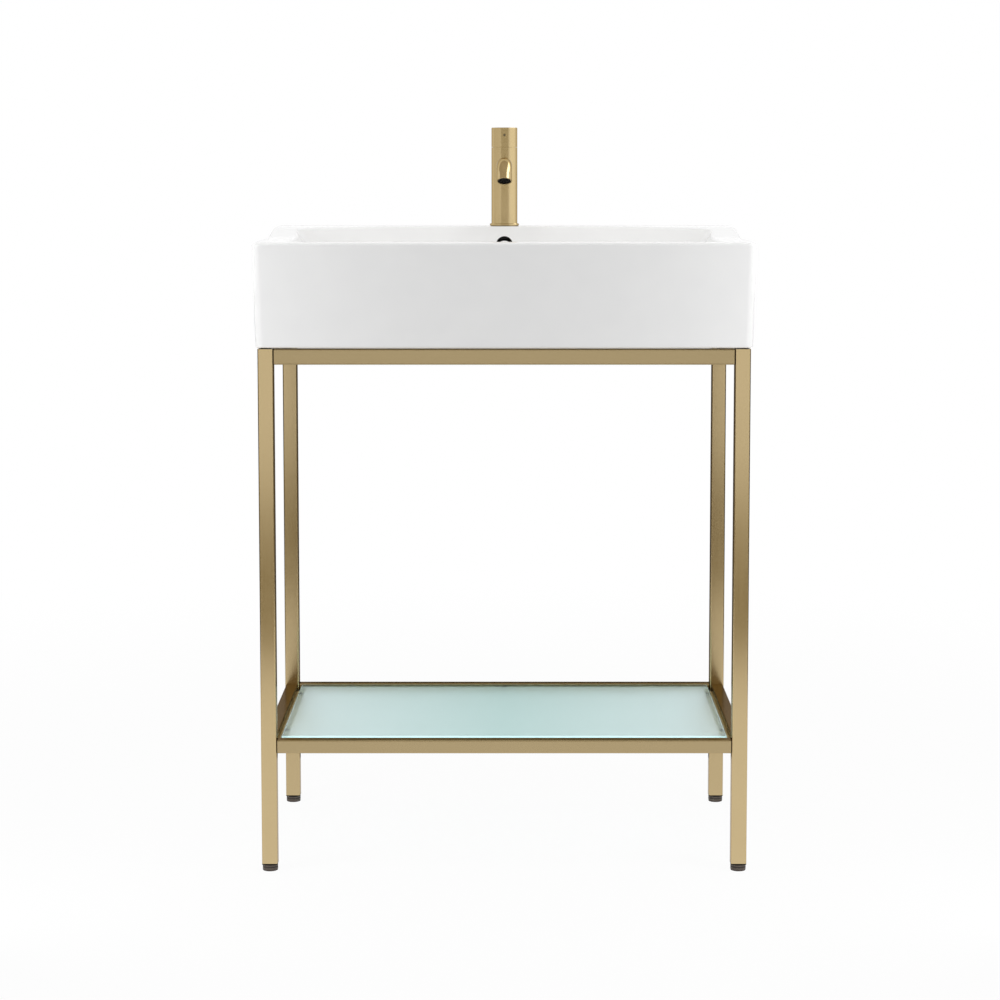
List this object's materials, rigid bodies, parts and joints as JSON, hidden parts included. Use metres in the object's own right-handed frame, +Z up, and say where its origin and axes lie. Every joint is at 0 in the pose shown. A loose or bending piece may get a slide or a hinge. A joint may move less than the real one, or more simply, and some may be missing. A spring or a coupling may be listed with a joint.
{
  "type": "console vanity unit",
  "caption": "Console vanity: rectangular ceramic basin on an open square-tube frame, with a glass shelf, levelling feet and a single-hole tap with a turning cap.",
  "frame": {"origin": "on the floor, under the middle of the basin", "axes": "+Z up, -Y towards the person at the basin, +X to that person's right"},
  "size_m": [0.7058, 0.4559, 1.063],
  "materials": {
    "white_glaze": "glossy white glaze",
    "brushed_gold_steel": "brushed along each tube, gold coated",
    "brushed_gold_brass": "brushed, gold coated",
    "frosted_glass": "frosted pale aqua with polished edges",
    "black_plastic": "matt black",
    "brown_plastic": "satin dark brown",
    "grey_plastic": "matt grey",
    "soft_rubber": "matt black",
    "clear_rubber": "translucent grey",
    "bright_steel": "zinc plated",
    "plain_brass": "machined",
    "index_dot": "dark gold dot"
  },
  "bodies": {
    "console": {"basin": "white_glaze", "leg_front_left": "brushed_gold_steel", "leg_front_right": "brushed_gold_steel", "leg_rear_left": "brushed_gold_steel", "leg_rear_right": "brushed_gold_steel", "top_rail_front": "brushed_gold_steel", "top_rail_rear": "brushed_gold_steel", "top_rail_left": "brushed_gold_steel", "top_rail_right": "brushed_gold_steel", "shelf_rail_front": "brushed_gold_steel", "shelf_rail_rear": "brushed_gold_steel", "shelf_rail_left": "brushed_gold_steel", "shelf_rail_right": "brushed_gold_steel", "shelf_ledge_front": "brushed_gold_steel", "shelf_ledge_rear": "brushed_gold_steel", "shelf_ledge_left": "brushed_gold_steel", "shelf_ledge_right": "brushed_gold_steel", "tap_body": "brushed_gold_brass", "tap_spout": "brushed_gold_brass", "tap_base_ring": "brushed_gold_brass", "shelf_glass": "frosted_glass", "leg_top_plugs": "black_plastic", "leg_end_plugs": "black_plastic", "tap_aerator_shell": "black_plastic", "tap_aerator_insert": "black_plastic", "tap_cartridge": "grey_plastic", "tap_gasket": "soft_rubber", "tap_rubber_washer": "soft_rubber", "basin_pads": "clear_rubber", "glass_bumpers": "clear_rubber", "rail_spigots": "bright_steel", "rail_grub_screws": "bright_steel", "tap_steel_washer": "bright_steel", "tap_cartridge_nut": "plain_brass", "tap_shank": "plain_brass", "tap_nut": "plain_brass"},
    "cap": {"tap_cap": "brushed_gold_brass", "tap_cap_screw": "bright_steel", "tap_index": "index_dot", "tap_spindle": "plain_brass"},
    "foot_front_left": {"foot_sole_front_left": "soft_rubber", "foot_puck_front_left": "brown_plastic", "foot_stud_front_left": "bright_steel"},
    "foot_front_right": {"foot_sole_front_right": "soft_rubber", "foot_puck_front_right": "brown_plastic", "foot_stud_front_right": "bright_steel"},
    "foot_rear_left": {"foot_sole_rear_left": "soft_rubber", "foot_puck_rear_left": "brown_plastic", "foot_stud_rear_left": "bright_steel"},
    "foot_rear_right": {"foot_sole_rear_right": "soft_rubber", "foot_puck_rear_right": "brown_plastic", "foot_stud_rear_right": "bright_steel"}
  },
  "joints": [
    {"name": "cap_turn", "type": "hinge", "parent": "console", "child": "cap", "pos_m": [0, 0.176, 1.048], "axis": [0, 0, 1], "range_deg": [0, 100]},
    {"name": "foot_front_left_screw", "type": "slide", "parent": "console", "child": "foot_front_left", "axis": [0, 0, -1], "range_m": [0, 0.01]},
    {"name": "foot_front_right_screw", "type": "slide", "parent": "console", "child": "foot_front_right", "axis": [0, 0, -1], "range_m": [0, 0.01]},
    {"name": "foot_rear_left_screw", "type": "slide", "parent": "console", "child": "foot_rear_left", "axis": [0, 0, -1], "range_m": [0, 0.01]},
    {"name": "foot_rear_right_screw", "type": "slide", "parent": "console", "child": "foot_rear_right", "axis": [0, 0, -1], "range_m": [0, 0.01]}
  ]
}
